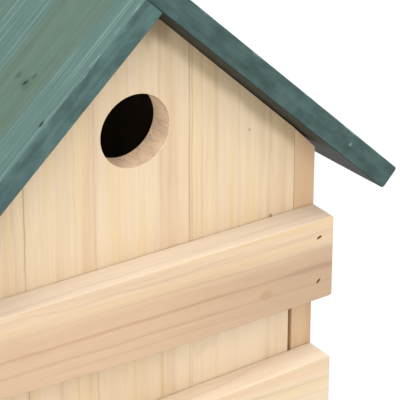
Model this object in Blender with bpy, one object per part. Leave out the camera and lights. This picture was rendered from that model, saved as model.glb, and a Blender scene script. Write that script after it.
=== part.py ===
"""Birdhouse: a gabled nest box of nailed fir boards, with a stained roof and a slide-out floor.

The frame's origin is the middle of the base. +X is the right side for someone who faces the
entrance hole, +Y runs from the front to the back, and +Z is up. Everything is in metres.
"""

import math

import bmesh
import bpy
from mathutils import Matrix, Vector

# Boards
BODY_WIDTH = 0.168
WALL = 0.010  # side walls
PANEL = 0.012  # front and back panels
ROOF_BOARD = 0.010
ROOF_LENGTH = 0.200
FRONT_OVERHANG = 0.020
ROOF_PITCH = math.radians(43)
SLOPE_LENGTH = 0.1414  # from the inside ridge line down to the eave, along the underside
RIDGE_HEIGHT = 0.272  # the inside ridge line
HOLE_DIAMETER = 0.030
HOLE_SIDES = 40
HOLE_HEIGHT = 0.218
SLAT_HEIGHT = 0.036
SLAT_THICKNESS = 0.014
SLAT_PITCH = 0.065
SLAT_EDGE = 0.0008  # the width of its rounded edges
ROOF_EDGE = 0.0006
# From the base up: each slat's name, and how far its upper and lower edges fall to its left end.
# They are sawn and nailed by eye, so the middle one hangs out of level and the top one tapers.
SLATS = (("bottom", 0.0, 0.0), ("middle", 0.0044, 0.0044), ("top", 0.0026, 0.0))
GAP = 0.0003  # between pieces that touch

# Clean-out floor, which slides out at the back on two runners
FLOOR = 0.010
FLOOR_HEIGHT = 0.009  # its underside
FLOOR_SIDE_GAP = 0.0008
FLOOR_END_GAP = 0.0005
FLOOR_TOP_GAP = 0.001
RUNNER = 0.0085  # its width and height
RUNNER_INSET = 0.0015  # of its ends, from the front panel and from the house's back
GRIP_LENGTH = 0.040  # of the groove under the floor that fingers pull it by
GRIP_RADIUS = 0.008
GRIP_DEPTH = 0.005
GRIP_INSET = 0.022  # from the floor's back edge
GRIP_SIDES = 16

# Hanger plate on the back
PLATE_WIDTH = 0.018
PLATE_HEIGHT = 0.050
PLATE = 0.0015
PLATE_CORNER = 0.003
CORNER_STEPS = 3
PLATE_CENTRE = 0.205
KEYHOLE_DIAMETER = 0.010
KEYHOLE_DROP = 0.005  # of the round mouth below the plate's centre
KEYHOLE_SLOT = 0.005
KEYHOLE_RISE = 0.009  # of the slot's top above the plate's centre
POCKET_WIDTH = 0.013
POCKET_HEIGHT = 0.026
POCKET_DEPTH = 0.0075
HANGER_SCREW_SPREAD = 0.018  # above and below the plate's centre

# Where the nails go
SLAT_NAIL_INSET = 0.007  # from the ends of the slats
SLAT_NAIL_SHARES = (0.23, 0.78)  # of a slat's height
WALL_NAIL_HEIGHTS = (0.050, 0.115, 0.178)
ROOF_NAILS_ALONG = (0.050, 0.088)  # down the slope from the inside ridge line
RIDGE_NAILS_ALONG = -0.0052  # the middle of the left board's thickness
RIDGE_NAIL_SPOTS = (-0.050, 0.0, 0.050)
RUNNER_NAIL_SPOTS = (-0.045, 0.060)

# Fasteners: each outline is (radius, depth below the board's face) points, from its top to its tip
NAIL_OUTLINE = ((0.0011, 0.0008), (0.0011, 0.0015), (0.0007, 0.0019), (0.0007, 0.026), (0.0002, 0.028))
SHORT_NAIL_OUTLINE = (*NAIL_OUTLINE[:3], (0.0007, 0.015), (0.0002, 0.017))
COUNTERSUNK_OUTLINE = ((0.0032, 0.0), (0.0016, 0.0016), (0.0014, 0.007), (0.0003, 0.0095))
BORE_CLEARANCE = 0.00015
BORE_RISE = 0.002  # how far a bore's cutter stands out of the face
SIDES = 8

FRONT_Y = -ROOF_LENGTH / 2 + FRONT_OVERHANG
BACK_Y = ROOF_LENGTH / 2
HALF_WIDTH = BODY_WIDTH / 2
INNER_X = HALF_WIDTH - WALL

FIR = ("fir", (0.80, 0.64, 0.42), 0.65, 0.0)
STAIN = ("green_stain", (0.11, 0.20, 0.16), 0.6, 0.0)
STEEL = ("galvanised_steel", (0.45, 0.45, 0.46), 0.4, 1.0)


def clear_scene():
    for obj in list(bpy.data.objects):
        bpy.data.objects.remove(obj, do_unlink=True)


def material(look):
    name, colour, roughness, metallic = look
    made = bpy.data.materials.new(name)
    made.use_nodes = True
    shader = made.node_tree.nodes["Principled BSDF"]
    shader.inputs["Base Color"].default_value = (*colour, 1.0)
    shader.inputs["Roughness"].default_value = roughness
    shader.inputs["Metallic"].default_value = metallic
    return made


def add_object(name, mesh_data, look=None):
    """A new object from a bmesh. One with no look is a cutter, which isn't part of the birdhouse."""
    mesh = bpy.data.meshes.new(name)
    bmesh.ops.recalc_face_normals(mesh_data, faces=mesh_data.faces)
    mesh_data.to_mesh(mesh)
    mesh_data.free()
    obj = bpy.data.objects.new(name, mesh)
    bpy.context.collection.objects.link(obj)
    if look:
        mesh.materials.append(material((f"{name}_{look[0]}", *look[1:])))
    else:
        obj.hide_render = True
        obj.display_type = "WIRE"
    return obj


def prism(outline, start, end):
    """A bmesh of the (x, z) outline, run along Y from start to end."""
    made = bmesh.new()
    near = [made.verts.new((x, start, z)) for x, z in outline]
    face = made.faces.new(near)
    moved = bmesh.ops.extrude_face_region(made, geom=[face])["geom"]
    far = [item for item in moved if isinstance(item, bmesh.types.BMVert)]
    bmesh.ops.translate(made, verts=far, vec=(0, end - start, 0))
    return made


def box(low, high):
    outline = [(low[0], low[2]), (high[0], low[2]), (high[0], high[2]), (low[0], high[2])]
    return prism(outline, low[1], high[1])


def stadium(length, width, steps=6):
    """Points round a bar with round ends, along the first axis from its first round end's centre."""
    radius = width / 2
    turns = [math.pi * (0.5 + step / steps) for step in range(steps + 1)]
    near = [(radius * math.cos(turn), radius * math.sin(turn)) for turn in turns]
    far = [(length - width - x, -y) for x, y in near]
    return near + far


def turned(outline, made=None, place=None, sides=SIDES):
    """Adds the closed shape that (radius, depth) points sweep about an axis. Depth runs along -Z."""
    made = made or bmesh.new()
    place = place or Matrix.Identity(4)
    rings = []
    for radius, depth in outline:
        turns = [2 * math.pi * side / sides for side in range(sides)]
        points = [Vector((radius * math.cos(turn), radius * math.sin(turn), -depth)) for turn in turns]
        rings.append([made.verts.new(place @ point) for point in points])
    for upper, lower in zip(rings, rings[1:]):
        for side in range(sides):
            other = (side + 1) % sides
            made.faces.new((upper[side], lower[side], lower[other], upper[other]))
    made.faces.new(rings[0])
    made.faces.new(reversed(rings[-1]))
    return made


def cut(obj, cutter):
    modifier = obj.modifiers.new(cutter.name, "BOOLEAN")
    modifier.operation = "DIFFERENCE"
    modifier.solver = "EXACT"
    modifier.object = cutter


def round_edges(obj, width, segments):
    modifier = obj.modifiers.new("rounded edges", "BEVEL")
    modifier.width = width
    modifier.segments = segments
    modifier.limit_method = "ANGLE"


def under_roof(x):
    """The height just under the roof at x, with a gap square to the board."""
    return RIDGE_HEIGHT - abs(x) * math.tan(ROOF_PITCH) - GAP / math.cos(ROOF_PITCH)


def on_slope(side, along, out):
    """(x, z) on a roof slope, along it from the inside ridge line and out from its underside."""
    down = Vector((side * math.cos(ROOF_PITCH), -math.sin(ROOF_PITCH)))
    outward = Vector((side * math.sin(ROOF_PITCH), math.cos(ROOF_PITCH)))
    return Vector((0, RIDGE_HEIGHT)) + along * down + out * outward


def make_gables():
    """The front and back panels, which stand between the side walls."""
    edge = INNER_X - GAP

    def gable(name, bottom, start, end):
        outline = [(-edge, bottom), (edge, bottom), (edge, under_roof(edge)), (0, under_roof(0))]
        return add_object(name, prism([*outline, (-edge, under_roof(edge))], start, end), FIR)

    front = gable("front_panel", 0, FRONT_Y, FRONT_Y + PANEL)
    back = gable("back_panel", FLOOR_HEIGHT + FLOOR + FLOOR_TOP_GAP, BACK_Y - PANEL, BACK_Y)
    turns = [2 * math.pi * step / HOLE_SIDES for step in range(HOLE_SIDES)]
    radius = HOLE_DIAMETER / 2
    rim = [(radius * math.cos(turn), HOLE_HEIGHT + radius * math.sin(turn)) for turn in turns]
    cut(front, add_object("entrance_cutter", prism(rim, FRONT_Y - PANEL, FRONT_Y + 2 * PANEL)))
    seat = box(
        (-PLATE_WIDTH / 2 - GAP, BACK_Y - PLATE - GAP, PLATE_CENTRE - PLATE_HEIGHT / 2 - GAP),
        (PLATE_WIDTH / 2 + GAP, BACK_Y + PANEL, PLATE_CENTRE + PLATE_HEIGHT / 2 + GAP),
    )
    cut(back, add_object("plate_seat_cutter", seat))
    pocket = box(
        (-POCKET_WIDTH / 2, BACK_Y - POCKET_DEPTH, PLATE_CENTRE - POCKET_HEIGHT / 2),
        (POCKET_WIDTH / 2, BACK_Y + PANEL, PLATE_CENTRE + POCKET_HEIGHT / 2),
    )
    cut(back, add_object("screw_pocket_cutter", pocket))
    return [front, back]


def make_side_walls():
    walls = []
    for name, side in (("left_side_wall", -1), ("right_side_wall", 1)):
        inner, outer = side * INNER_X, side * HALF_WIDTH
        outline = [(inner, 0), (outer, 0), (outer, under_roof(outer)), (inner, under_roof(inner))]
        walls.append(add_object(name, prism(outline, FRONT_Y, BACK_Y), FIR))
    return walls


def make_roof():
    """The right board laps over the ridge end of the left one, as far as the left one's top face."""
    lap = ROOF_BOARD / math.sin(2 * ROOF_PITCH)
    right = [(-lap, 0), (SLOPE_LENGTH, 0), (SLOPE_LENGTH, ROOF_BOARD), (-lap, ROOF_BOARD)]
    # The left board's ridge end is cut to the right board's underside, which isn't quite square to it.
    mitre = ROOF_BOARD / math.tan(2 * ROOF_PITCH)
    left = [(GAP, 0), (SLOPE_LENGTH, 0), (SLOPE_LENGTH, ROOF_BOARD), (GAP + mitre, ROOF_BOARD)]
    boards = []
    for name, side, outline in (("left_roof_board", -1, left), ("right_roof_board", 1, right)):
        points = [on_slope(side, along, out) for along, out in outline]
        board = add_object(name, prism(points, -ROOF_LENGTH / 2, ROOF_LENGTH / 2), STAIN)
        round_edges(board, ROOF_EDGE, 1)
        boards.append(board)
    return boards


def slat_level(row, x, share):
    """The height, at x, of a point that is this share of the way up a slat."""
    _, upper_fall, lower_fall = SLATS[row]
    fall = lower_fall + share * (upper_fall - lower_fall)
    return row * SLAT_PITCH + share * SLAT_HEIGHT - fall * (HALF_WIDTH - x) / BODY_WIDTH


def make_slats():
    slats = []
    for row, (name, *_) in enumerate(SLATS):
        corners = ((-HALF_WIDTH, 0), (HALF_WIDTH, 0), (HALF_WIDTH, 1), (-HALF_WIDTH, 1))
        outline = [(x, slat_level(row, x, share)) for x, share in corners]
        slat = add_object(f"{name}_front_slat", prism(outline, FRONT_Y - SLAT_THICKNESS, FRONT_Y - GAP), FIR)
        round_edges(slat, SLAT_EDGE, 2)
        slats.append(slat)
    return slats


def make_floor():
    """The floor, with a groove under its back edge to pull it out by, and the runners it lies on."""
    edge = INNER_X - FLOOR_SIDE_GAP
    back = BACK_Y - FLOOR_END_GAP
    low = (-edge, FRONT_Y + PANEL + FLOOR_END_GAP, FLOOR_HEIGHT)
    floor = add_object("floor_panel", box(low, (edge, back, FLOOR_HEIGHT + FLOOR)), FIR)
    half = GRIP_LENGTH / 2
    place = Matrix.Translation((-half, back - GRIP_INSET, FLOOR_HEIGHT + GRIP_DEPTH - GRIP_RADIUS))
    ends = [(GRIP_RADIUS, 0), (GRIP_RADIUS, GRIP_LENGTH)]
    groove = turned(ends, None, place @ Matrix.Rotation(-math.pi / 2, 4, "Y"), GRIP_SIDES)
    cut(floor, add_object("grip_cutter", groove))
    pieces = [floor]
    for name, side in (("left_floor_runner", -1), ("right_floor_runner", 1)):
        across = sorted((side * (INNER_X - GAP), side * (INNER_X - GAP - RUNNER)))
        top = FLOOR_HEIGHT - GAP
        low = (across[0], FRONT_Y + PANEL + RUNNER_INSET, top - RUNNER)
        pieces.append(add_object(name, box(low, (across[1], BACK_Y - RUNNER_INSET, top)), FIR))
    return pieces


def make_plate():
    """The keyhole hanger plate, flush with the back panel's outer face."""
    half_width, half_height = PLATE_WIDTH / 2, PLATE_HEIGHT / 2
    outline = []
    for quarter, (x, z) in enumerate(((1, 1), (-1, 1), (-1, -1), (1, -1))):
        for step in range(CORNER_STEPS + 1):
            turn = math.pi / 2 * (quarter + step / CORNER_STEPS)
            across = x * (half_width - PLATE_CORNER) + PLATE_CORNER * math.cos(turn)
            up = z * (half_height - PLATE_CORNER) + PLATE_CORNER * math.sin(turn)
            outline.append((across, PLATE_CENTRE + up))
    plate = add_object("hanger_plate", prism(outline, BACK_Y - PLATE, BACK_Y), STEEL)
    round_end = stadium(KEYHOLE_DROP + KEYHOLE_RISE, KEYHOLE_SLOT)
    slot_foot = PLATE_CENTRE - KEYHOLE_DROP + KEYHOLE_SLOT / 2
    slot = prism([(y, slot_foot + x) for x, y in round_end], BACK_Y - 3 * PLATE, BACK_Y + PLATE)
    cut(plate, add_object("keyhole_slot_cutter", slot))
    mouth_place = Matrix.Translation((0, BACK_Y + PLATE, PLATE_CENTRE - KEYHOLE_DROP))
    turn_to_y = Matrix.Rotation(-math.pi / 2, 4, "X")
    sides = [(KEYHOLE_DIAMETER / 2, 0), (KEYHOLE_DIAMETER / 2, 4 * PLATE)]
    mouth = turned(sides, None, mouth_place @ turn_to_y)
    cut(plate, add_object("keyhole_mouth_cutter", mouth))
    return plate


def bore_outline(outline):
    """The hole for a fastener: what is below the face, with clearance, and open above it."""
    sunk = [(radius + BORE_CLEARANCE, depth) for radius, depth in outline if depth >= 0]
    *sides, (_, tip) = sunk
    sides = [(radius, depth + BORE_CLEARANCE) for radius, depth in sides]
    return [(sides[0][0], -BORE_RISE), *sides, (sides[-1][0], tip + BORE_CLEARANCE)]


class Fasteners:
    """Makes each nail or screw, and collects all their bores into one cutter."""

    def __init__(self):
        self.bores = bmesh.new()
        self.count = {}

    def add(self, kind, at, into, outline=NAIL_OUTLINE, name=None):
        """A fastener whose head meets a board's face at a point, and which runs into the wood."""
        place = Matrix.Translation(at) @ Vector(into).to_track_quat("-Z", "Y").to_matrix().to_4x4()
        self.count[kind] = self.count.get(kind, 0) + 1
        nail = add_object(name or f"{kind}_{self.count[kind]:02d}", turned(outline, None, place), STEEL)
        nail.data.shade_smooth()
        nail.data.set_sharp_from_angle(angle=math.radians(35))
        turned(bore_outline(outline), self.bores, place)


def add_slat_nails(fasteners):
    """Two at each end of each slat, into the side wall's front edge."""
    for row in range(len(SLATS)):
        for side in (-1, 1):
            for share in SLAT_NAIL_SHARES:
                x = side * (HALF_WIDTH - SLAT_NAIL_INSET)
                at = (x, FRONT_Y - SLAT_THICKNESS, slat_level(row, x, share))
                fasteners.add("slat_nail", at, (0, 1, 0))


def add_wall_nails(fasteners):
    """Through each side wall into the edges of both panels."""
    for depth in (FRONT_Y + PANEL / 2, BACK_Y - PANEL / 2):
        for side in (-1, 1):
            for height in WALL_NAIL_HEIGHTS:
                fasteners.add("wall_nail", (side * HALF_WIDTH, depth, height), (-side, 0, 0))


def add_roof_nails(fasteners):
    """Through each roof board into the sloping edges of both panels."""
    for depth in (FRONT_Y + PANEL / 2, BACK_Y - PANEL / 2):
        for side in (-1, 1):
            for along in ROOF_NAILS_ALONG:
                x, z = on_slope(side, along, ROOF_BOARD)
                into = (-side * math.sin(ROOF_PITCH), 0, -math.cos(ROOF_PITCH))
                fasteners.add("roof_nail", (x, depth, z), into)


def add_ridge_nails(fasteners):
    """Through the right roof board into the ridge end of the left one."""
    x, z = on_slope(1, RIDGE_NAILS_ALONG, ROOF_BOARD)
    into = (-math.sin(ROOF_PITCH), 0, -math.cos(ROOF_PITCH))
    for depth in RIDGE_NAIL_SPOTS:
        fasteners.add("ridge_nail", (x, depth, z), into)


def add_runner_nails(fasteners):
    """Through each side wall into the floor's runners."""
    for side in (-1, 1):
        for depth in RUNNER_NAIL_SPOTS:
            at = (side * HALF_WIDTH, depth, FLOOR_HEIGHT - GAP - RUNNER / 2)
            fasteners.add("runner_nail", at, (-side, 0, 0), SHORT_NAIL_OUTLINE)


def add_hanger_screws(fasteners):
    for name, rise in (("hanger_screw_upper", 1), ("hanger_screw_lower", -1)):
        at = (0, BACK_Y, PLATE_CENTRE + rise * HANGER_SCREW_SPREAD)
        fasteners.add("hanger_screw", at, (0, -1, 0), COUNTERSUNK_OUTLINE, name)


def main():
    clear_scene()
    pieces = make_gables() + make_side_walls() + make_roof() + make_slats() + make_floor()
    pieces.append(make_plate())
    fasteners = Fasteners()
    add_slat_nails(fasteners)
    add_wall_nails(fasteners)
    add_roof_nails(fasteners)
    add_ridge_nails(fasteners)
    add_runner_nails(fasteners)
    add_hanger_screws(fasteners)
    bores = add_object("fastener_bores", fasteners.bores)
    for piece in pieces:
        cut(piece, bores)


main()
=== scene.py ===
"""Looks for the birdhouse: nailed fir boards, a green-stained roof and galvanised fittings.

Every place is in the CAD frame, in metres. The origin is the middle of the base, +X is the right
side for someone facing the entrance hole, +Y runs from the front to the back, and +Z is up.
"""

import math

import bmesh
import bpy
import numpy as np
from mathutils import Matrix, Vector, noise


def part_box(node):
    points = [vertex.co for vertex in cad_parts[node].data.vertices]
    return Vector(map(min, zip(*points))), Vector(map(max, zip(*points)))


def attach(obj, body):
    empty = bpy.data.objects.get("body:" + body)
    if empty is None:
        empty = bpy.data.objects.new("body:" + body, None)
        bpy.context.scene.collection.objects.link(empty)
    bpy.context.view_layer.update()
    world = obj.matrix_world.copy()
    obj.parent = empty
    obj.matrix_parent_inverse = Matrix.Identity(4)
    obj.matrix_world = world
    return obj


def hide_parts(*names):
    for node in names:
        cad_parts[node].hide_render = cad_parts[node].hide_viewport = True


# Sizes, as in the CAD part
BODY_WIDTH = 0.168
WALL = 0.010
PANEL = 0.012
SLAT_THICKNESS = 0.014
ROOF_BOARD = 0.010
ROOF_LENGTH = 0.200
FRONT_OVERHANG = 0.020
ROOF_PITCH = math.radians(43)
SLOPE_LENGTH = 0.1414
RIDGE_HEIGHT = 0.272
HOLE_DIAMETER = 0.030
HOLE_HEIGHT = 0.218
GAP = 0.0003
# How far each slat's upper and lower edges fall to its left end
SLAT_FALLS = {"top": (0.0026, 0.0), "middle": (0.0044, 0.0044), "bottom": (0.0, 0.0)}
PLATE = 0.0015
PLATE_WIDTH = 0.018
PLATE_HEIGHT = 0.050
PLATE_CENTRE = 0.205
PLATE_CORNER = 0.003
KEYHOLE_DIAMETER = 0.010
KEYHOLE_DROP = 0.005
KEYHOLE_SLOT = 0.005
KEYHOLE_RISE = 0.009
POCKET_WIDTH = 0.013
POCKET_HEIGHT = 0.026
POCKET_DEPTH = 0.0075
SCREW_SPREAD = 0.018  # of the hanger's screws, above and below its centre
SCREW_HEAD = 0.0032
GRIP_LENGTH = 0.040
GRIP_RADIUS = 0.008
GRIP_DEPTH = 0.005
GRIP_INSET = 0.022

FRONT_Y = -ROOF_LENGTH / 2 + FRONT_OVERHANG
BACK_Y = ROOF_LENGTH / 2
HALF_WIDTH = BODY_WIDTH / 2
INNER_X = HALF_WIDTH - WALL
SLAT_FRONT_Y = FRONT_Y - SLAT_THICKNESS

# The hanger screws below their heads. The CAD part leaves out the thread
SCREW_SHANK = 0.0014
SCREW_CORE = 0.00105
SCREW_LENGTH = 0.0095

# Where the boards stray from the CAD part
HOLE_WANDER = 0.0004  # how far the drill went to the left
WALL_DROP = {-1: 0.0, 1: 0.0022}  # of the left and right walls' outer top edges below the roof
PANEL_TAPER = 0.0017  # how much narrower the front panel is at its right, below the top slat
LEFT_LIFT = math.radians(0.6)  # the left roof board lies a little shallower than the right one
RIGHT_EXTRA = 0.0004  # the right roof board's extra length
UNDERSIDE_BOW = 0.0018  # of the right roof board
# How far each slat's right end is higher, its left end lower, and its lower edge's middle lower still
SLAT_BENDS = {"top": (0.0, 0.0, 0.0017), "middle": (0.0007, 0.0030, 0.0), "bottom": (0.0, 0.0, 0.0)}
GRID = 0.012  # the spacing of the lines that let a board warp
WARP = 0.00007

# Nails: the angles of their slots for each kind, in degrees, and how much these vary
WALL_NAIL_SLANTS = {"slat_nail": 33, "wall_nail": 65, "runner_nail": 30}
ROOF_NAIL_SLANTS = {"roof_nail": 60, "ridge_nail": 10}
SLANT_SPREAD = 12
CLOSED_NAIL = "slat_nail_08"
HEAD_BORE = 0.00125
SHANK_BORE = 0.00085

# Studio
FLOOR_SIZE = 4.0
FLOOR_DROP = 0.0002
FLOOR_GREY = 0.15
FLOOR_GLOW = 0.85
SKY = 0.9  # brightness at the horizon
SKY_RISE = 0.5  # how much brighter it is overhead
LIGHT_TARGET = (0, 0, 0.15)
CAMERA_AT = (-0.4088, -0.7529, 0.5636)
CAMERA_AZIMUTH = math.radians(33.034)
CAMERA_ELEVATION = math.radians(25.449)
CAMERA_LENS = 204.1

# Colours of the fir
CREAM = (0.70, 0.555, 0.385)
STRAW = (0.70, 0.540, 0.335)
ROSE = (0.65, 0.475, 0.32)
LINE = (0.38, 0.225, 0.115)
KNOT = (0.30, 0.17, 0.08)
# A dark smudge under the ridge: partly stain, partly painted shade
APEX_SMUDGE_AND_SHADE = (0.13, 0.085, 0.045)
EAVES_SHADE = (0.67, 0.645, 0.585)
# The hole's wall: lighter than the planed fir, as painted light
DRILLED_WITH_LIGHT = (0.98, 0.73, 0.51)

# Colours of the stain
SAGE = (0.076, 0.119, 0.090)
OLIVE = (0.066, 0.105, 0.071)
TEAL = (0.074, 0.131, 0.118)
PALE = (0.170, 0.250, 0.230)
DEEP = (0.050, 0.092, 0.086)
BLUISH = (0.055, 0.095, 0.105)
WORN = (0.34, 0.45, 0.41)
DENT = (0.035, 0.052, 0.040)
KNOT_HOLE = (0.008, 0.012, 0.010)
UNDERSIDE_SHADE = (0.007, 0.015, 0.012)
SAWN_TONE = {-1: 1.16, 1: 0.88}  # how light the left and right boards' sawn edges are

# Colours of the metal
ZINC = (0.42, 0.43, 0.44)
NAIL = (0.20, 0.15, 0.12)
RUST = (0.12, 0.055, 0.025)

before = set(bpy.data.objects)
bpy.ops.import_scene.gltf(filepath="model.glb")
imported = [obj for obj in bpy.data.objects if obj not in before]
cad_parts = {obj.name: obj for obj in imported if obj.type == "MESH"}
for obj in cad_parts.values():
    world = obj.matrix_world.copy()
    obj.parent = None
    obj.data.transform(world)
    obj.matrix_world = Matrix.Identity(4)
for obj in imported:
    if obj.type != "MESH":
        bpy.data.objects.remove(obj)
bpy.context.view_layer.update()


def place_camera():
    data = bpy.data.cameras.new("camera")
    data.lens = CAMERA_LENS
    data.sensor_width = 36
    data.clip_start = 0.01
    camera = bpy.data.objects.new("camera", data)
    camera.location = CAMERA_AT
    camera.rotation_euler = (math.pi / 2 - CAMERA_ELEVATION, 0, -CAMERA_AZIMUTH)
    bpy.context.collection.objects.link(camera)
    bpy.context.scene.camera = camera


def scaled(colour, factor):
    return tuple(factor * part for part in colour)


class Graph:
    """One material's nodes. A value is a number, a tuple of numbers or another node's socket."""

    def __init__(self, name):
        self.material = bpy.data.materials.new(name)
        self.material.use_nodes = True
        self.tree = self.material.node_tree
        self.shader = self.tree.nodes["Principled BSDF"]

    def put(self, socket, value):
        if isinstance(value, bpy.types.NodeSocket):
            self.tree.links.new(value, socket)
        else:
            socket.default_value = value

    def node(self, kind, *values, **settings):
        made = self.tree.nodes.new(kind)
        for key, value in settings.items():
            setattr(made, key, value)
        for socket, value in zip(made.inputs, values):
            if value is not None:
                self.put(socket, value)
        return made

    def place(self):
        """A point's place in the object's own frame, which is the CAD frame."""
        return self.node("ShaderNodeTexCoord").outputs["Object"]

    def math(self, operation, *values):
        return self.node("ShaderNodeMath", *values, operation=operation).outputs[0]

    def product(self, *values):
        total = values[0]
        for value in values[1:]:
            total = self.math("MULTIPLY", total, value)
        return total

    def vector(self, operation, *values):
        made = self.node("ShaderNodeVectorMath", *values, operation=operation)
        return made.outputs["Value" if operation in ("DOT_PRODUCT", "LENGTH") else "Vector"]

    def noise(self, at, detail=2.0, roughness=0.5):
        made = self.node("ShaderNodeTexNoise")
        names = ("Vector", "Scale", "Detail", "Roughness")
        for name, value in zip(names, (at, 1.0, detail, roughness)):
            self.put(made.inputs[name], value)
        return made.outputs[0]

    def smooth(self, value, low, high, start=0.0, end=1.0):
        """Goes smoothly from start to end as the value goes from low to high."""
        values = (value, low, high, start, end)
        return self.node("ShaderNodeMapRange", *values, interpolation_type="SMOOTHSTEP").outputs[0]

    def mix(self, share, one, two, blend="MIX"):
        made = self.node("ShaderNodeMix", data_type="RGBA", blend_type=blend)
        sockets = (made.inputs[0], made.inputs[6], made.inputs[7])  # the factor and both colours
        for socket, value in zip(sockets, (share, one, two)):
            colour = isinstance(value, tuple) and len(value) == 3
            self.put(socket, (*value, 1.0) if colour else value)
        return made.outputs[2]

    def shaded(self, colour, *factors):
        """The colour, made lighter or darker by each factor."""
        total = self.product(*factors)
        grey = self.node("ShaderNodeCombineColor", total, total, total).outputs[0]
        return self.mix(1.0, colour, grey, "MULTIPLY")

    def bump(self, height, distance, strength=1.0):
        made = self.node("ShaderNodeBump")
        self.put(made.inputs["Height"], height)
        self.put(made.inputs["Distance"], distance)
        self.put(made.inputs["Strength"], strength)
        return made.outputs["Normal"]

    def finish(self, colour, roughness, normal=None, **plain):
        self.put(self.shader.inputs["Base Color"], colour)
        self.put(self.shader.inputs["Roughness"], roughness)
        if normal:
            self.put(self.shader.inputs["Normal"], normal)
        for name, value in plain.items():
            self.shader.inputs[name.replace("_", " ")].default_value = value
        return self.material


class Grain:
    """Coordinates in a board: along its grain, across its face and out of its face."""

    def __init__(self, graph, along, across, seed):
        self.graph, self.seed = graph, seed
        along, across = Vector(along), Vector(across)
        self.axes = (along, across, along.cross(across))
        place = graph.place()
        parts = [graph.vector("DOT_PRODUCT", place, tuple(axis)) for axis in self.axes]
        self.along, self.across, self.out = parts
        self.place = graph.node("ShaderNodeCombineXYZ", *parts).outputs[0]

    def streaks(self, length, width, shift=0.0, **settings):
        """Noise whose blotches are this long along the grain and this wide across it."""
        graph = self.graph
        scale = (1 / length, 1 / width, 1 / width)
        moved = graph.vector("ADD", self.place, (self.seed * 0.37, self.seed * 0.11, shift * 0.13))
        return graph.noise(graph.vector("MULTIPLY", moved, scale), **settings)

    def wander(self, length, amount, shift=0.0):
        """A length that drifts slowly along the grain, to either side of 0."""
        drift = self.streaks(length, length / 3, shift)
        return self.graph.math("MULTIPLY_ADD", drift, amount, -amount / 2)

    def near(self, value, centre, width, strength=1.0):
        """The strength at the centre, and nothing a width away from it."""
        distance = self.graph.math("ABSOLUTE", self.graph.math("SUBTRACT", value, centre))
        return self.graph.smooth(distance, 0.0, width, strength, 0.0)

    def spot(self, point, radius, stretch=1.0):
        """A blotch with a ragged edge round a point: 1 in its middle, longer along the grain."""
        graph = self.graph
        centre = tuple(Vector(point).dot(axis) for axis in self.axes)
        flat = graph.vector("MULTIPLY", graph.vector("SUBTRACT", self.place, centre), (1 / stretch, 1.0, 1.0))
        wobble = self.streaks(radius * 2 * stretch, radius * 0.8, 9, detail=3.0)
        wobble = graph.math("MULTIPLY_ADD", wobble, radius * 1.4, -0.7 * radius)
        distance = graph.math("ADD", graph.vector("LENGTH", flat), wobble)
        return graph.smooth(distance, radius * 0.5, radius * 1.3, 1.0, 0.0)

    def add_spots(self, colour, spots):
        """Spots are (point, radius, stretch, strength, colour)."""
        for point, radius, stretch, strength, spot_colour in spots:
            share = self.graph.product(self.spot(point, radius, stretch), strength)
            colour = self.graph.mix(share, colour, spot_colour)
        return colour

    def rings(self, pith, spacing):
        """Growth lines round the pith, at (across, out): each darkens slowly, then ends."""
        graph = self.graph
        offset = graph.vector("SUBTRACT", self.place, (0.0, *pith))
        flat = graph.vector("MULTIPLY", offset, (0.0, 1.0, 1.0))
        radius = graph.math("ADD", graph.vector("LENGTH", flat), self.wander(0.09, spacing * 2.2, 1))
        radius = graph.math("ADD", radius, self.wander(0.018, spacing * 0.25, 2))
        count = graph.math("DIVIDE", radius, spacing)
        phase = graph.math("FRACT", count)
        line = graph.product(graph.math("POWER", phase, 5.0), graph.smooth(phase, 0.93, 1.0, 1.0, 0.0))
        each = graph.node("ShaderNodeTexWhiteNoise", noise_dimensions="1D")
        graph.put(each.inputs["W"], graph.math("FLOOR", count))
        return graph.product(line, graph.math("POWER", each.outputs[0], 1.6))


def yellower(cream):
    """A cream that is to the given one what STRAW is to CREAM."""
    return tuple(part * straw / plain for part, straw, plain in zip(cream, STRAW, CREAM))


def inside_shade_factor(graph):
    """Painted shade: a factor that is lower on the faces inside the house."""
    x, y, _ = graph.node("ShaderNodeSeparateXYZ", graph.place()).outputs
    middle = (FRONT_Y + BACK_Y) / 2
    end, blend = BACK_Y - PANEL - middle, 0.001
    within = graph.smooth(graph.math("ABSOLUTE", x), INNER_X, INNER_X + blend, 1.0, 0.0)
    depth = graph.math("ABSOLUTE", graph.math("SUBTRACT", y, middle))
    between = graph.smooth(depth, end, end + blend, 1.0, 0.0)
    return graph.math("SUBTRACT", 1.0, graph.product(within, between, 0.45))


def drop_below_roof(graph, grain):
    """How far a point is below the roof's underside."""
    x, _, z = graph.node("ShaderNodeSeparateXYZ", graph.place()).outputs
    slope = -math.tan(ROOF_PITCH)
    roof = graph.math("MULTIPLY_ADD", graph.math("ABSOLUTE", x), slope, RIDGE_HEIGHT)
    return graph.math("ADD", graph.math("SUBTRACT", roof, z), grain.wander(0.030, 0.004, 14))


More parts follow.
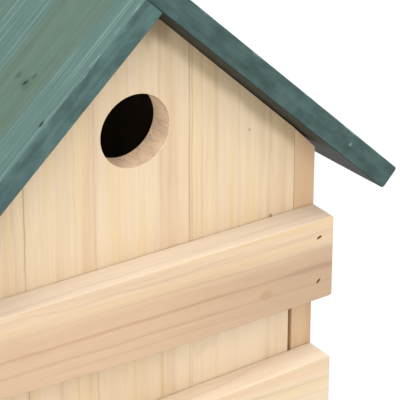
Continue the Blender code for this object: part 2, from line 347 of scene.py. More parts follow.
def fir(name, along, across, pith, spacing, seed, *, rosy, lines, cream=CREAM, rose=ROSE, marks=(), spots=(),
        blush=None, deepen=None, painted_top_light=None, painted_inside_shade=False, painted_eaves_shade=False):
    """Planed fir, whose growth rings have their pith at (across, out).

    Marks are (place across, width, strength) lines. Blush is (low, high) places across, between
    which the wood turns from rose to cream, and deepen is (start, end, shade) along the grain for
    the rose part. The painted top light is the colour of the faces that look up: painted light on
    the tops. Under the eaves, the wood is painted darker where it meets the roof: painted shade.
    """
    graph = Graph(name)
    grain = Grain(graph, along, across, seed)
    broad = grain.streaks(0.16, 0.010, 3, detail=3.0)
    tint = graph.smooth(broad, 0.68 - rosy * 0.4, 0.92 - rosy * 0.4)
    if blush:
        edge = graph.math("ADD", grain.across, grain.wander(0.08, 0.008, 10))
        flush = graph.smooth(edge, *blush, 1.0, 0.0)
        tint = graph.math("MAXIMUM", graph.product(tint, 0.6), flush)
    straw = graph.smooth(grain.streaks(0.11, 0.0042, 11, detail=2.0), 0.48, 0.66)
    fibre = grain.streaks(0.020, 0.00055, 4, detail=4.0, roughness=0.7)
    fine = grain.streaks(0.06, 0.0016, 5, detail=3.0, roughness=0.6)
    colour = graph.mix(tint, graph.mix(straw, cream, yellower(cream)), rose)
    # Painted light: the faces that look up get a lighter colour
    if painted_top_light:
        normal = graph.node("ShaderNodeTexCoord").outputs["Normal"]
        upward = graph.vector("DOT_PRODUCT", normal, (0.0, 0.0, 1.0))
        colour = graph.mix(graph.smooth(upward, 0.3, 0.9, 0.0, 0.9), colour, painted_top_light)

    dark = graph.product(grain.rings(pith, spacing), lines)
    drift = graph.math("ADD", grain.across, grain.wander(0.07, 0.0020, 6))
    drift = graph.math("ADD", drift, grain.wander(0.02, 0.0005, 7))
    broken = graph.smooth(grain.streaks(0.05, 0.02, 8), 0.25, 0.6, 0.45, 1.0)
    for place, width, strength in marks:
        mark = grain.near(drift, place, width, strength)
        dark = graph.math("ADD", dark, graph.product(mark, broken))
    flecks = graph.smooth(grain.streaks(0.007, 0.00045, 12, detail=1.0), 0.70, 0.80, 0.0, 0.22)
    dark = graph.math("ADD", dark, flecks)
    colour = graph.mix(graph.math("MINIMUM", dark, 1.0), colour, LINE)

    shades = [graph.math("MULTIPLY_ADD", fibre, 0.20, 0.90), graph.math("MULTIPLY_ADD", fine, 0.18, 0.91)]
    if painted_inside_shade:
        shades.append(inside_shade_factor(graph))
    if deepen:
        start, end, shade = deepen
        place = graph.math("ADD", grain.along, grain.wander(0.05, 0.03, 13))
        depth = graph.product(flush, graph.smooth(place, start, end, 0.0, shade))
        shades.append(graph.math("SUBTRACT", 1.0, depth))
    # Painted shade under the roof: darkest where the panel meets the roof, a little lighter below that,
    # slightly darker further down
    if painted_eaves_shade:
        drop = drop_below_roof(graph, grain)
        shades.append(graph.smooth(drop, 0.025, 0.060, 1.03, 0.97))
        eaves_shade_share = graph.smooth(drop, 0.0058, 0.0126, 1.0, 0.0)
        colour = graph.mix(eaves_shade_share, colour, EAVES_SHADE, "MULTIPLY")
    colour = grain.add_spots(graph.shaded(colour, *shades), spots)
    height = graph.math("SUBTRACT", graph.product(fibre, 0.5), dark)
    roughness = graph.math("MULTIPLY_ADD", fibre, 0.15, 0.6)
    return graph.finish(colour, roughness, graph.bump(height, 0.00014, 0.6), Specular_IOR_Level=0.15)


def drilled_fir_with_light():
    """Fir that the drill has cut across, with short torn fibres, coloured lighter than the planed fir as
    painted light on the hole's wall.
    """
    graph = Graph("drilled_fir_with_light")
    place = graph.place()
    seed = 3.0
    torn = graph.noise(graph.vector("MULTIPLY", place, (900.0, 260.0, 900.0)), 4.0, 0.7)
    moved = graph.vector("MULTIPLY_ADD", place, (130.0, 60.0, 130.0), (seed, seed, seed))
    blotch = graph.noise(moved, 3.0)
    bands = graph.noise(graph.vector("MULTIPLY", place, (230.0, 30.0, 30.0)), 3.0)
    toned = graph.mix(graph.smooth(blotch, 0.35, 0.7), DRILLED_WITH_LIGHT, scaled(DRILLED_WITH_LIGHT, 0.8))
    toned = graph.mix(graph.smooth(bands, 0.52, 0.62, 0.0, 0.5), toned, ROSE)
    toned = graph.mix(graph.smooth(torn, 0.50, 0.70, 0.0, 0.45), toned, LINE)
    return graph.finish(toned, 0.8, graph.bump(torn, 0.0003, 0.8), Specular_IOR_Level=0.15)


def stain(name, side, seed, spots):
    """Green stain on a roof board whose grain runs down the slope. It soaks deeper into the edges."""
    down = Vector((side * math.cos(ROOF_PITCH), 0, -math.sin(ROOF_PITCH)))
    outward = Vector((side * math.sin(ROOF_PITCH), 0, math.cos(ROOF_PITCH)))
    graph = Graph(name)
    grain = Grain(graph, down, (0, 1, 0), seed)
    broad = grain.streaks(0.20, 0.014, 1, detail=3.0)
    bands = grain.streaks(0.25, 0.0050, 2, detail=3.0)
    fibre = grain.streaks(0.020, 0.0006, 3, detail=4.0, roughness=0.7)
    fine = grain.streaks(0.09, 0.0018, 10, detail=3.0)
    blotch = grain.streaks(0.014, 0.007, 4, detail=5.0, roughness=0.6)

    # The faces: sage and olive, with teal along the front edge and further back
    colour = graph.mix(graph.smooth(broad, 0.42, 0.58), SAGE, OLIVE)
    edge_at = graph.math("ADD", grain.across, grain.wander(0.15, 0.008, 11))
    front = graph.smooth(edge_at, -0.087, -0.083, 0.9, 0.0)
    patches = graph.smooth(grain.streaks(0.30, 0.020, 6), 0.35, 0.55)
    behind = graph.product(graph.smooth(edge_at, -0.062, -0.053, 0.0, 0.9), patches)
    tealness = graph.math("MAXIMUM", front, behind)
    tealness = graph.math("MAXIMUM", tealness, graph.smooth(bands, 0.58, 0.70, 0.0, 0.3))
    colour = graph.mix(tealness, colour, TEAL)
    streak = graph.smooth(grain.streaks(0.20, 0.0012, 5, detail=2.0), 0.56, 0.72, 0.0, 0.8)
    colour = graph.mix(graph.product(streak, tealness), colour, PALE)
    line = graph.smooth(grain.streaks(0.30, 0.0011, 7, detail=2.0), 0.60, 0.74, 0.0, 0.45)
    colour = graph.mix(line, colour, DEEP)

    # The sawn edges, and the underside, which is painted nearly black as shade
    normal = graph.node("ShaderNodeNewGeometry").outputs["True Normal"]
    turns = {"vector_type": "NORMAL", "convert_from": "WORLD", "convert_to": "OBJECT"}
    normal = graph.node("ShaderNodeVectorTransform", normal, **turns).outputs[0]
    lengthways = graph.math("ABSOLUTE", graph.vector("DOT_PRODUCT", normal, (0.0, 1.0, 0.0)))
    endways = graph.math("ABSOLUTE", graph.vector("DOT_PRODUCT", normal, tuple(down)))
    tone = SAWN_TONE[side]
    deep = graph.mix(graph.smooth(blotch, 0.3, 0.7), scaled(DEEP, 0.74 * tone), scaled(DEEP, 1.26 * tone))
    deep = graph.mix(graph.smooth(broad, 0.5, 0.65, 0.0, 0.35), deep, BLUISH)
    sawn = graph.smooth(graph.math("MAXIMUM", lengthways, endways), 0.75, 0.95)
    colour = graph.mix(sawn, colour, deep)
    # Painted shade: the faces that look down, with the lower front edge's rounding, take the dark underside
    # colour
    below = graph.vector("DOT_PRODUCT", normal, tuple(-outward))
    colour = graph.mix(graph.smooth(below, 0.15, 0.5), colour, UNDERSIDE_SHADE)

    # The front upper edge, where the stain has worn off
    top = side * (RIDGE_HEIGHT * math.cos(ROOF_PITCH) + ROOF_BOARD)
    rim = graph.product(grain.near(grain.across, -0.0992, 0.0016), grain.near(grain.out, top, 0.0012))
    worn = graph.smooth(grain.streaks(0.012, 0.0009, 8, detail=4.0, roughness=0.7), 0.56, 0.64)
    colour = graph.mix(graph.product(worn, rim, 0.8), colour, WORN)

    shades = [graph.math("MULTIPLY_ADD", fibre, 0.34, 0.83), graph.math("MULTIPLY_ADD", fine, 0.42, 0.79)]
    shades.append(graph.math("MULTIPLY_ADD", blotch, 0.30, 0.85))
    colour = grain.add_spots(graph.shaded(colour, *shades), spots)
    height = graph.math("SUBTRACT", fibre, graph.product(line, 1.2))
    roughness = graph.math("MULTIPLY_ADD", fibre, 0.2, 0.5)
    return graph.finish(colour, roughness, graph.bump(height, 0.00014, 0.7), Specular_IOR_Level=0.2)


def steel(name, colour, rust):
    """Galvanised steel with a faint spangle, and rust where it has worn."""
    graph = Graph(name)
    place = graph.place()
    spangle = graph.node("ShaderNodeTexVoronoi")
    graph.put(spangle.inputs["Vector"], place)
    graph.put(spangle.inputs["Scale"], 450.0)
    toned = graph.shaded(colour, graph.math("MULTIPLY_ADD", spangle.outputs["Color"], 0.25, 0.85))
    blotch = graph.noise(graph.vector("SCALE", place, None, None, 300.0), 4.0)
    rusty = graph.smooth(blotch, 0.75 - rust * 0.4, 0.95 - rust * 0.4)
    toned = graph.mix(rusty, toned, RUST)
    graph.put(graph.shader.inputs["Metallic"], graph.math("SUBTRACT", 1.0, rusty))
    roughness = graph.math("MULTIPLY_ADD", blotch, 0.3, 0.25)
    return graph.finish(toned, roughness, graph.bump(blotch, 0.00003))


def torn_fibre(name, colour):
    """Torn wood fibre in a nail's pit."""
    graph = Graph(name)
    rough = graph.noise(graph.vector("SCALE", graph.place(), None, None, 2500.0), 3.0)
    toned = graph.mix(rough, scaled(colour, 0.6), scaled(colour, 1.3))
    return graph.finish(toned, 0.9, graph.bump(rough, 0.0001), Specular_IOR_Level=0.1)


def prism(outline, start, end):
    """A bmesh of the (x, z) outline, run along Y from start to end."""
    made = bmesh.new()
    near = [made.verts.new((x, start, z)) for x, z in outline]
    face = made.faces.new(near)
    moved = bmesh.ops.extrude_face_region(made, geom=[face])["geom"]
    far = [item for item in moved if isinstance(item, bmesh.types.BMVert)]
    bmesh.ops.translate(made, verts=far, vec=(0, end - start, 0))
    bmesh.ops.recalc_face_normals(made, faces=made.faces)
    return made


def box(low, high):
    outline = [(low[0], low[2]), (high[0], low[2]), (high[0], high[2]), (low[0], high[2])]
    return prism(outline, low[1], high[1])


def arc(centre, radius, start, end, steps):
    """(x, z) points round a centre, from one angle to another."""
    turns = [start + (end - start) * step / steps for step in range(steps + 1)]
    return [(centre[0] + radius * math.cos(turn), centre[1] + radius * math.sin(turn)) for turn in turns]


def turned(outline, place, sides, made=None):
    """Adds the closed shape that (radius, depth) points sweep about an axis. Depth runs along -Z."""
    made = made or bmesh.new()
    turns = [2 * math.pi * side / sides for side in range(sides)]
    rings = []
    for radius, depth in outline:
        points = [Vector((radius * math.cos(turn), radius * math.sin(turn), -depth)) for turn in turns]
        rings.append([made.verts.new(place @ point) for point in points])
    for upper, lower in zip(rings, rings[1:]):
        for side in range(sides):
            other = (side + 1) % sides
            made.faces.new((upper[side], lower[side], lower[other], upper[other]))
    made.faces.new(rings[0])
    made.faces.new(reversed(rings[-1]))
    return made


def run(edge):
    """An edge's direction, with its length."""
    return edge.verts[0].co - edge.verts[1].co


def round_edges(made, width, segments=3, chosen=None):
    edges = [edge for edge in made.edges if chosen is None or chosen(edge)]
    bmesh.ops.bevel(made, geom=edges, offset=width, segments=segments, profile=0.5, affect="EDGES")


def add_grid(made):
    """Cuts lines across every face, so that the board can warp."""
    corners = np.array([vertex.co for vertex in made.verts])
    for axis in range(3):
        low, high = corners[:, axis].min(), corners[:, axis].max()
        cuts = int((high - low) / GRID)
        normal = [0.0, 0.0, 0.0]
        normal[axis] = 1.0
        for cut_number in range(1, cuts + 1):
            at = [0.0, 0.0, 0.0]
            at[axis] = low + (high - low) * cut_number / (cuts + 1)
            geometry = [*made.verts, *made.edges, *made.faces]
            bmesh.ops.bisect_plane(made, geom=geometry, dist=1e-7, plane_co=at, plane_no=normal)


def warp(made, seed, amount=WARP):
    """Makes a board's faces and edges a little uneven."""
    made.normal_update()
    for vertex in made.verts:
        place = vertex.co + Vector((seed, 0.7 * seed, 0.3 * seed))
        swell = noise.noise(place * 40) + 0.5 * noise.noise(place * 130)
        vertex.co += vertex.normal * amount * (swell - 1.0)


def new_object(name, made, material):
    bmesh.ops.recalc_face_normals(made, faces=made.faces)
    mesh = bpy.data.meshes.new(name)
    made.to_mesh(mesh)
    made.free()
    mesh.materials.append(material)
    obj = bpy.data.objects.new(name, mesh)
    bpy.context.collection.objects.link(obj)
    return obj


def cut(obj, cutters=(), shared=(), crossed=False):
    """Cuts meshes out of an object. Each wall takes its cutter's material. Shared cutters are kept
    for other boards. A crossed cutter overlaps itself."""
    for cutter in (*cutters, *shared):
        modifier = obj.modifiers.new(cutter.name, "BOOLEAN")
        modifier.operation = "DIFFERENCE"
        modifier.solver = "EXACT"
        modifier.use_self = crossed
        modifier.object = cutter
        modifier.material_mode = "TRANSFER"
    shown = obj.evaluated_get(bpy.context.evaluated_depsgraph_get())
    mesh = bpy.data.meshes.new_from_object(shown)
    obj.modifiers.clear()
    obj.data = mesh
    for cutter in cutters:
        bpy.data.objects.remove(cutter)


def add_bevel(obj, width, segments):
    bevel = obj.modifiers.new("rounded edges", "BEVEL")
    bevel.width = width
    bevel.segments = segments
    bevel.limit_method = "ANGLE"
    return bevel


def show(obj, node, body="house"):
    """Gives a finished piece its shading and its body, and hides the CAD node it stands for."""
    obj.data.shade_smooth()
    obj.data.set_sharp_from_angle(angle=math.radians(35))
    weighted = obj.modifiers.new("even shading", "WEIGHTED_NORMAL")
    weighted.keep_sharp = True
    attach(obj, body)
    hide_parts(node)


def under_roof(x):
    return RIDGE_HEIGHT - abs(x) * math.tan(ROOF_PITCH) - GAP / math.cos(ROOF_PITCH)


def on_slope(side, along, out):
    """(x, z) on a roof slope, along it from the inside ridge line and out from its underside."""
    down = Vector((side * math.cos(ROOF_PITCH), -math.sin(ROOF_PITCH)))
    outward = Vector((side * math.sin(ROOF_PITCH), math.cos(ROOF_PITCH)))
    return Vector((0, RIDGE_HEIGHT)) + along * down + out * outward


def nail_place(node):
    """A matrix at a CAD nail's head, whose -Z runs down the nail, and the nail's length."""
    near = 1e-4
    points = np.array([vertex.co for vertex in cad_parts[node].data.vertices], float)
    middle = (points.min(axis=0) + points.max(axis=0)) / 2
    axis = np.linalg.svd(points - points.mean(axis=0))[2][0]
    depth = (points - middle) @ axis
    across = np.linalg.norm(points - middle - np.outer(depth, axis), axis=1)
    if across[depth < depth.min() + near].max() < across[depth > depth.max() - near].max():
        axis, depth = -axis, -depth
    centre = points[depth < depth.min() + near].mean(axis=0)
    turn = Vector(axis).to_track_quat("-Z", "Y").to_matrix().to_4x4()
    return Matrix.Translation(centre) @ turn, depth.max() - depth.min()


def nail_holes(slants, material):
    """Two cutters for these kinds of nails: their bores, and the slanted slots above their heads.
    The wood has closed over one nail's slot."""
    bores, pits = bmesh.new(), bmesh.new()
    nails = sorted(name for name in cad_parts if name.rsplit("_", 1)[0] in slants)
    for number, name in enumerate(nails):
        place, length = nail_place(name)
        head = [(HEAD_BORE, -0.00005), (HEAD_BORE, 0.0009)]
        shank = [(SHANK_BORE, 0.0012), (SHANK_BORE, length - 0.0018), (0.0003, length + 0.0002)]
        turned(head + shank, place, 16, bores)
        if name == CLOSED_NAIL:
            continue
        slant = math.radians(slants[name.rsplit("_", 1)[0]] + SLANT_SPREAD * math.sin(number * 2.4))
        oval = place @ Matrix.Rotation(slant, 4, "Z") @ Matrix.Diagonal((1.0, 0.42, 1.0, 1.0))
        turned([(0.00155, -0.003), (0.0013, -0.0006), (0.0011, 0.00002)], oval, 20, pits)
    return new_object("bores", bores, material), new_object("pits", pits, material)


def make_floor():
    made = bmesh.new()
    bmesh.ops.create_grid(made, x_segments=1, y_segments=1, size=FLOOR_SIZE)
    graph = Graph("studio_floor")
    glow = {"Emission_Color": (1.0, 1.0, 1.0, 1.0), "Emission_Strength": FLOOR_GLOW}
    grey = (FLOOR_GREY, FLOOR_GREY, FLOOR_GREY, 1.0)
    floor = new_object("studio_floor", made, graph.finish(grey, 0.9, Specular_IOR_Level=0.0, **glow))
    floor.location.z = -FLOOR_DROP


def make_sky():
    world = bpy.data.worlds.new("studio")
    world.use_nodes = True
    tree = world.node_tree
    height = tree.nodes.new("ShaderNodeSeparateXYZ")
    tree.links.new(tree.nodes.new("ShaderNodeTexCoord").outputs["Generated"], height.inputs[0])
    strength = tree.nodes.new("ShaderNodeMath")
    strength.operation = "MULTIPLY_ADD"
    tree.links.new(height.outputs["Z"], strength.inputs[0])
    strength.inputs[1].default_value = SKY_RISE
    strength.inputs[2].default_value = SKY
    background = tree.nodes["Background"]
    background.inputs["Color"].default_value = (1.0, 1.0, 1.0, 1.0)
    tree.links.new(strength.outputs[0], background.inputs["Strength"])
    bpy.context.scene.world = world
    bpy.context.scene.view_settings.view_transform = "Standard"


def add_light(name, place, size, energy, colour):
    light = bpy.data.lights.new(name, "AREA")
    light.shape = "DISK"
    light.size = size
    light.energy = energy
    light.color = colour
    obj = bpy.data.objects.new(name, light)
    obj.location = place
    obj.rotation_euler = (Vector(LIGHT_TARGET) - obj.location).to_track_quat("-Z", "Y").to_euler()
    bpy.context.collection.objects.link(obj)


def rounded_hole(radius, rim, depth):
    """The (radius, depth) outline of a hole through a board, with its rims rounded over."""
    steps = 5
    turns = [math.pi / 2 * step / steps for step in range(steps + 1)]
    near = [(radius + rim * (1 - math.sin(turn)), rim * (1 - math.cos(turn))) for turn in turns]
    near = [(radius + 1.2 * rim, -0.002), *near]
    return near + [(across, depth - down) for across, down in reversed(near)]


def front_panel():
    """It meets the side walls closely, but its right edge is further in below the top slat."""
    edge = INNER_X - 0.00005
    narrow = INNER_X - PANEL_TAPER
    outline = [(-edge, 0), (narrow, 0), (narrow, 0.140), (edge, 0.152), (edge, under_roof(edge) - 0.0010)]
    outline += [(0, under_roof(0) - 0.0003), (-edge, under_roof(edge))]
    made = prism(outline, FRONT_Y, FRONT_Y + PANEL)
    round_edges(made, 0.00015, 2)
    add_grid(made)
    warp(made, 1.0)
    marks = (
        (0.0241, 0.0007, 0.60), (0.0253, 0.0006, 0.40), (-0.0496, 0.0006, 0.60), (-0.0356, 0.0016, 0.16),
        (-0.0189, 0.0010, 0.26), (0.0107, 0.0012, 0.22), (0.0366, 0.0016, 0.22), (0.0619, 0.0016, 0.24),
        (0.0145, 0.0040, 0.10), (0.030, 0.0007, 0.16), (-0.028, 0.0008, 0.12), (0.047, 0.0012, 0.12),
    )
    spots = (
        # Painted light: a large pale patch below the top slat, lightening the shade there
        ((0.040, FRONT_Y, 0.114), 0.026, 1.2, 0.55, (0.78, 0.64, 0.48)),
        ((0.0520, FRONT_Y, 0.2062), 0.0006, 1.0, 0.6, KNOT),
        ((0.0626, FRONT_Y, 0.1658), 0.0009, 1.0, 0.8, KNOT),
        # A dark smudge at the apex: partly stain, partly painted shade under the roof
        ((0.003, FRONT_Y, 0.2690), 0.0080, 1.2, 0.90, APEX_SMUDGE_AND_SHADE),
        ((0.009, FRONT_Y, 0.261), 0.0080, 1.3, 0.35, APEX_SMUDGE_AND_SHADE),
    )
    look = fir("front_panel_fir", (0, 0, 1), (1, 0, 0), (0.02, 0.16), 0.0038, 1.0, rosy=0.45, lines=0.4,
               marks=marks, spots=spots, painted_inside_shade=True, painted_eaves_shade=True)
    board = new_object("front_panel_board", made, look)
    place = Matrix.Translation((-HOLE_WANDER, FRONT_Y, HOLE_HEIGHT)) @ Matrix.Rotation(math.pi / 2, 4, "X")
    place = place @ Matrix.Diagonal((1 + HOLE_WANDER / HOLE_DIAMETER * 2, 1.0, 1.0, 1.0))
    profile = rounded_hole(HOLE_DIAMETER / 2, 0.0003, PANEL)
    hole = new_object("hole_cutter", turned(profile, place, 96), drilled_fir_with_light())
    cut(board, [hole], wall_holes)
    show(board, "front_panel")


def screw_place(rise):
    """A matrix at a hanger screw's head, whose -Z runs into the back panel."""
    centre = (0, BACK_Y, PLATE_CENTRE + rise * SCREW_SPREAD)
    return Matrix.Translation(centre) @ Matrix.Rotation(-math.pi / 2, 4, "X")


def back_panel():
    """The hanger plate's seat, a pocket behind its keyhole and two screw holes are cut into it."""
    edge = INNER_X - GAP
    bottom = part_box("back_panel")[0].z
    outline = [(-edge, bottom), (edge, bottom), (edge, under_roof(edge)), (0, under_roof(0))]
    made = prism([*outline, (-edge, under_roof(edge))], BACK_Y - PANEL, BACK_Y)
    round_edges(made, 0.0004, 2)
    add_grid(made)
    warp(made, 2.0)
    spots = (
        ((0.038, BACK_Y, 0.075), 0.0040, 1.6, 0.8, KNOT),
        ((-0.047, BACK_Y, 0.15), 0.0028, 1.6, 0.7, KNOT),
    )
    look = fir("back_panel_fir", (0, 0, 1), (1, 0, 0), (-0.03, -0.02), 0.0055, 2.0, rosy=0.55, lines=0.5,
               painted_inside_shade=True, spots=spots)
    board = new_object("back_panel_board", made, look)
    beyond = BACK_Y + 0.01
    width, height = PLATE_WIDTH / 2 + GAP, PLATE_HEIGHT / 2 + GAP
    low, high = PLATE_CENTRE - height, PLATE_CENTRE + height
    seat = box((-width, BACK_Y - PLATE - GAP, low), (width, beyond, high))
    width, height = POCKET_WIDTH / 2, POCKET_HEIGHT / 2
    low, high = PLATE_CENTRE - height, PLATE_CENTRE + height
    pocket = box((-width, BACK_Y - POCKET_DEPTH, low), (width, beyond, high))
    round_edges(pocket, 0.002, 3, lambda edge: abs(run(edge).y) > 0.001)
    screws = bmesh.new()
    for rise in (-1, 1):
        turned([(0.0018, 0), (0.0018, 0.0075), (0.0005, 0.0101)], screw_place(rise), 16, screws)
    cutters = [new_object("seat_cutter", seat, look), new_object("pocket_cutter", pocket, look)]
    cutters.append(new_object("screw_cutter", screws, look))
    cut(board, cutters, (*wall_holes, *roof_holes))
    show(board, "back_panel")


def side_walls():
    for number, (name, side) in enumerate((("left_side_wall", -1), ("right_side_wall", 1))):
        inner, outer = side * INNER_X, side * HALF_WIDTH
        drop = WALL_DROP[side]
        top = [(outer, under_roof(outer) - drop), (inner, under_roof(inner) - drop / 2)]
        made = prism([(inner, 0), (outer, 0), *top], FRONT_Y, BACK_Y)
        round_edges(made, 0.0002, 2)
        add_grid(made)
        warp(made, 3.0 + number)
        # Painted light: a pale patch high on each wall's front edge, lightening the shade under the eaves
        painted_light_patch = ((side * (INNER_X + WALL / 2), FRONT_Y, 0.174), 0.013, 1.6, 0.6, (0.68, 0.47, 0.285))
        look = fir(f"{name}_fir", (0, 0, 1), (0, side, 0), (0.04 - 0.01 * number, -0.11), 0.0042,
                   3.0 + number, rosy=0.7, lines=0.45, cream=(0.59, 0.415, 0.26), rose=(0.525, 0.34, 0.21),
                   painted_inside_shade=True, spots=(painted_light_patch,))
        board = new_object(f"{name}_board", made, look)
        cut(board, shared=wall_holes)
        show(board, name)


def bow(made):
    """Makes a roof board's underside swell a little between its front and back edges."""
    for vertex in made.verts:
        out = vertex.co.z * math.cos(ROOF_PITCH) + abs(vertex.co.x) * math.sin(ROOF_PITCH)
        under = 1 - (out - RIDGE_HEIGHT * math.cos(ROOF_PITCH)) / ROOF_BOARD
        share = max(0.0, under) * (1 - (2 * vertex.co.y / ROOF_LENGTH) ** 2)
        inward = Vector((-math.copysign(math.sin(ROOF_PITCH), vertex.co.x), 0, -math.cos(ROOF_PITCH)))
        vertex.co += UNDERSIDE_BOW * share * inward


def roof_boards():
    """The right board laps over the ridge end of the left one."""
    lap = ROOF_BOARD / math.sin(2 * ROOF_PITCH)
    mitre = ROOF_BOARD / math.tan(2 * ROOF_PITCH)
    length = SLOPE_LENGTH + RIGHT_EXTRA
    front, back = -ROOF_LENGTH / 2, ROOF_LENGTH / 2
    right = [(-lap, 0), (length, 0), (length, ROOF_BOARD), (-lap, ROOF_BOARD)]
    left = [(0, 0), (SLOPE_LENGTH, 0), (SLOPE_LENGTH, ROOF_BOARD), (mitre, ROOF_BOARD)]
    dents = (
        (0.0463, -0.0762, 0.0014, 0.65, DENT), (0.0488, -0.0678, 0.0014, 0.55, DENT),
        (0.0500, -0.0745, 0.0026, 0.45, DENT), (0.0593, -0.0980, 0.0011, 1.0, KNOT_HOLE),
    )
    left_spots = []
    for along, y, radius, strength, colour in dents:
        x, z = on_slope(-1, along, ROOF_BOARD)
        left_spots.append(((x, y, z), radius, 1.3, strength, colour))
    right_spots = [((0.0866, front, 0.1988), 0.0007, 1.0, 0.8, PALE)]
    for name, side, outline, spots in (("left_roof_board", -1, left, left_spots),
                                       ("right_roof_board", 1, right, right_spots)):
        made = prism([on_slope(side, along, out) for along, out in outline], front, back)
        low = min(vertex.co.z for vertex in made.verts) + ROOF_BOARD
        round_edges(made, 0.0013, 5, lambda edge: abs(run(edge).y) > ROOF_BOARD and edge.verts[0].co.z < low)
        round_edges(made, 0.0004, 3, lambda edge: edge.calc_face_angle(0) > math.radians(50))
        add_grid(made)
        if side > 0:
            bow(made)
        else:
            ridge = Matrix.Translation((0, 0, RIDGE_HEIGHT))
            lift = ridge @ Matrix.Rotation(LEFT_LIFT, 4, "Y") @ ridge.inverted()
            bmesh.ops.transform(made, matrix=lift, verts=made.verts)
        warp(made, 5.0 + side, 0.6 * WARP)
        board = new_object(f"{name}_stained", made, stain(f"{name}_stain", side, 5.0 + side, spots))
        cut(board, shared=roof_holes)
        show(board, name)


def bend(made, low, high, rise, fall, belly):
    """Lifts a slat's right end, lowers its left end, and lets its lower edge hang in the middle."""
    for vertex in made.verts:
        share = (vertex.co.x - low.x) / (high.x - low.x)
        below = (high.z - vertex.co.z) / (high.z - low.z)
        vertex.co.z += rise * share - fall * (1 - share) - belly * below * 4 * share * (1 - share)


SLAT_LOOKS = {
    "top": {
        "rosy": 0.6, "lines": 0.4, "cream": (0.64, 0.497, 0.343), "rose": (0.55, 0.38, 0.25),
        "blush": (0.148, 0.160), "deepen": (-0.02, 0.085, 0.17), "painted_top_light": (0.70, 0.575, 0.45),
        "marks": ((0.1445, 0.0012, 0.42), (0.1375, 0.0009, 0.36), (0.1530, 0.0007, 0.22),
                  (0.1590, 0.0006, 0.16), (0.1330, 0.0008, 0.15)),
        "spots": (((0.0514, SLAT_FRONT_Y, 0.1390), 0.0018, 1.8, 0.40, (0.36, 0.22, 0.10)),
                  ((0.0800, SLAT_FRONT_Y, 0.1447), 0.0016, 12.0, 0.45, (0.34, 0.22, 0.15))),
    },
    "middle": {
        "rosy": 0.45, "lines": 0.35, "cream": (0.66, 0.528, 0.378), "painted_top_light": (0.71, 0.58, 0.44),
        "marks": ((0.0925, 0.0010, 0.20), (0.0860, 0.0008, 0.15)),
    },
    "bottom": {
        "rosy": 0.55, "lines": 0.4,
        "spots": (((-0.03, SLAT_FRONT_Y, 0.02), 0.0030, 1.6, 0.6, KNOT),),
    },
}


def slats():
    for number, (row, settings) in enumerate(SLAT_LOOKS.items()):
        low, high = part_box(f"{row}_front_slat")
        upper_fall, lower_fall = SLAT_FALLS[row]
        outline = [(low.x, low.z), (high.x, low.z + lower_fall)]
        outline += [(high.x, high.z), (low.x, high.z - upper_fall)]
        made = prism(outline, low.y, high.y)
        front, back = low.y + 1e-5, high.y - 1e-5
        round_edges(made, 0.0010, 4, lambda edge: abs(run(edge).y) > 0.001)
        round_edges(made, 0.0004, 3, lambda edge: max(vertex.co.y for vertex in edge.verts) < front)
        round_edges(made, 0.0002, 2, lambda edge: min(vertex.co.y for vertex in edge.verts) > back)
        add_grid(made)
        bend(made, low, high, *SLAT_BENDS[row])
        warp(made, 7.0 + number)
        pith = (low.z - 0.004, 0.05)
        look = fir(f"{row}_slat_fir", (1, 0, 0), (0, 0, 1), pith, 0.0040, 7.0 + number, **settings)
        board = new_object(f"{row}_slat_board", made, look)
        cut(board, shared=wall_holes)
        show(board, f"{row}_front_slat")


def plain_board(node, seed):
    """A board that fills its CAD piece's box."""
    made = box(*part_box(node))
    round_edges(made, 0.0006, 3)
    add_grid(made)
    warp(made, seed)
    return made


def floor_pieces():
    low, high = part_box("floor_panel")
    made = plain_board("floor_panel", 11.0)
    look = fir("floor_fir", (1, 0, 0), (0, 1, 0), (0.02, -0.08), 0.0055, 11.0, rosy=0.5, lines=0.5)
    board = new_object("floor_board", made, look)
    centre = (-GRIP_LENGTH / 2, high.y - GRIP_INSET, low.z + GRIP_DEPTH - GRIP_RADIUS)
    place = Matrix.Translation(centre) @ Matrix.Rotation(-math.pi / 2, 4, "Y")
    groove = turned([(GRIP_RADIUS, 0), (GRIP_RADIUS, GRIP_LENGTH)], place, 64)
    cut(board, [new_object("groove_cutter", groove, look)])
    show(board, "floor_panel", "floor")
    for seed, name in ((12.0, "left_floor_runner"), (13.0, "right_floor_runner")):
        made = plain_board(name, seed)
        look = fir(f"{name}_fir", (0, 1, 0), (1, 0, 0), (0.05, 0.05), 0.004, seed, rosy=0.6, lines=0.5)
        runner = new_object(f"{name}_strip", made, look)
        cut(runner, shared=wall_holes)
        show(runner, name)


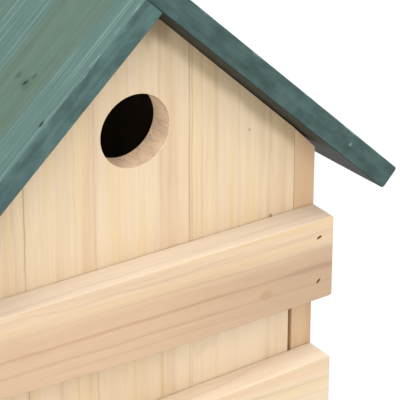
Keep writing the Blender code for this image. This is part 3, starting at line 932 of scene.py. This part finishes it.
def hanger_plate(zinc):
    """A pressed plate with round corners, a keyhole and two countersunk holes."""
    across, up = PLATE_WIDTH / 2 - PLATE_CORNER, PLATE_HEIGHT / 2 - PLATE_CORNER
    outline = []
    for quarter, (x, z) in enumerate(((1, 1), (-1, 1), (-1, -1), (1, -1))):
        centre = (x * across, PLATE_CENTRE + z * up)
        outline += arc(centre, PLATE_CORNER, math.pi / 2 * quarter, math.pi / 2 * (quarter + 1), 8)
    plate = new_object("hanger_plate_pressed", prism(outline, BACK_Y - PLATE, BACK_Y), zinc)

    mouth = (0, PLATE_CENTRE - KEYHOLE_DROP)
    top = (0, PLATE_CENTRE + KEYHOLE_RISE - KEYHOLE_SLOT / 2)
    half_gap = math.asin(KEYHOLE_SLOT / KEYHOLE_DIAMETER)  # half the angle where the slot meets the mouth
    points = arc(mouth, KEYHOLE_DIAMETER / 2, math.pi / 2 + half_gap, 2.5 * math.pi - half_gap, 48)
    points += arc(top, KEYHOLE_SLOT / 2, 0, math.pi, 24)
    keyhole = new_object("keyhole_cutter", prism(points, BACK_Y - 3 * PLATE, BACK_Y + PLATE), zinc)

    bore = 0.0018
    profile = [(SCREW_HEAD + 0.0012, -0.001), (SCREW_HEAD + 0.0002, 0), (bore, 0.0016), (bore, 0.003)]
    sinks = bmesh.new()
    for rise in (-1, 1):
        turned(profile, screw_place(rise), 48, sinks)
    cut(plate, [keyhole, new_object("sink_cutter", sinks, zinc)])
    add_bevel(plate, 0.00025, 3).angle_limit = math.radians(50)
    show(plate, "hanger_plate")


def cross_recess(place):
    """Two crossed slots that narrow as they go down."""
    half_width, foot, depth, half_thickness = 0.0016, 0.0005, 0.0014, 0.0003
    points = [(-half_width, 0.001), (half_width, 0.001), (half_width, 0), (foot, -depth), (-foot, -depth),
              (-half_width, 0)]
    cross = bmesh.new()
    for turn in (0, math.pi / 2):
        slot = prism(points, -half_thickness, half_thickness)
        bmesh.ops.transform(slot, matrix=place @ Matrix.Rotation(turn, 4, "Z"), verts=slot.verts)
        scratch = bpy.data.meshes.new("slot")
        slot.to_mesh(scratch)
        slot.free()
        cross.from_mesh(scratch)
        bpy.data.meshes.remove(scratch)
    return cross


def hanger_screws(zinc):
    """Countersunk screws with a cross recess and a plain ring for each turn of their thread."""
    head = [(0.0024, 0.00002), (0.0030, 0.0001), (SCREW_HEAD, 0.0003), (0.0016, 0.0016)]
    thread = []
    first, pitch, turns = 0.0026, 0.0009, 7
    for turn in range(turns):
        depth = first + turn * pitch
        thread += [(SCREW_SHANK, depth), (SCREW_CORE, depth + 0.0003), (SCREW_CORE, depth + 0.0005)]
    tip = [(0.0012, SCREW_LENGTH - 0.0009), (0.0003, SCREW_LENGTH)]
    profile = [*head, (SCREW_SHANK, 0.0022), *thread, *tip]
    for name, rise in (("hanger_screw_upper", 1), ("hanger_screw_lower", -1)):
        place = screw_place(rise)
        screw = new_object(f"{name}_driven", turned(profile, place, 48), zinc)
        recess = cross_recess(place @ Matrix.Rotation(0.5 * rise, 4, "Z"))
        cut(screw, [new_object("cross_cutter", recess, zinc)], crossed=True)
        show(screw, name)


def finish_nails():
    """The nails are the CAD part's own pieces, with rounded edges."""
    nail_steel = steel("nail_steel", NAIL, 1.0)
    for name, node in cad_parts.items():
        if "_nail_" in name:
            for material_slot in node.material_slots:
                material_slot.material = nail_steel
            add_bevel(node, 0.0001, 2)


place_camera()
make_floor()
make_sky()
add_light("overhead_light", (-0.3, -0.5, 2.0), size=1.0, energy=16, colour=(0.88, 0.94, 1.0))
add_light("front_light", (-1.1, -1.3, 1.2), size=1.4, energy=16, colour=(1.0, 0.99, 0.97))

# The pits in the walls are dark brown torn fibre, partly painted shade in the pits
wall_holes = nail_holes(WALL_NAIL_SLANTS, torn_fibre("pit_fibre_and_shade", (0.26, 0.15, 0.07)))
roof_holes = nail_holes(ROOF_NAIL_SLANTS, torn_fibre("stained_fibre", (0.055, 0.085, 0.068)))
front_panel()
back_panel()
side_walls()
roof_boards()
slats()
floor_pieces()
hanger_zinc = steel("hanger_zinc", ZINC, 0.2)
hanger_plate(hanger_zinc)
hanger_screws(hanger_zinc)
finish_nails()
for cutter in (*wall_holes, *roof_holes):
    bpy.data.objects.remove(cutter)
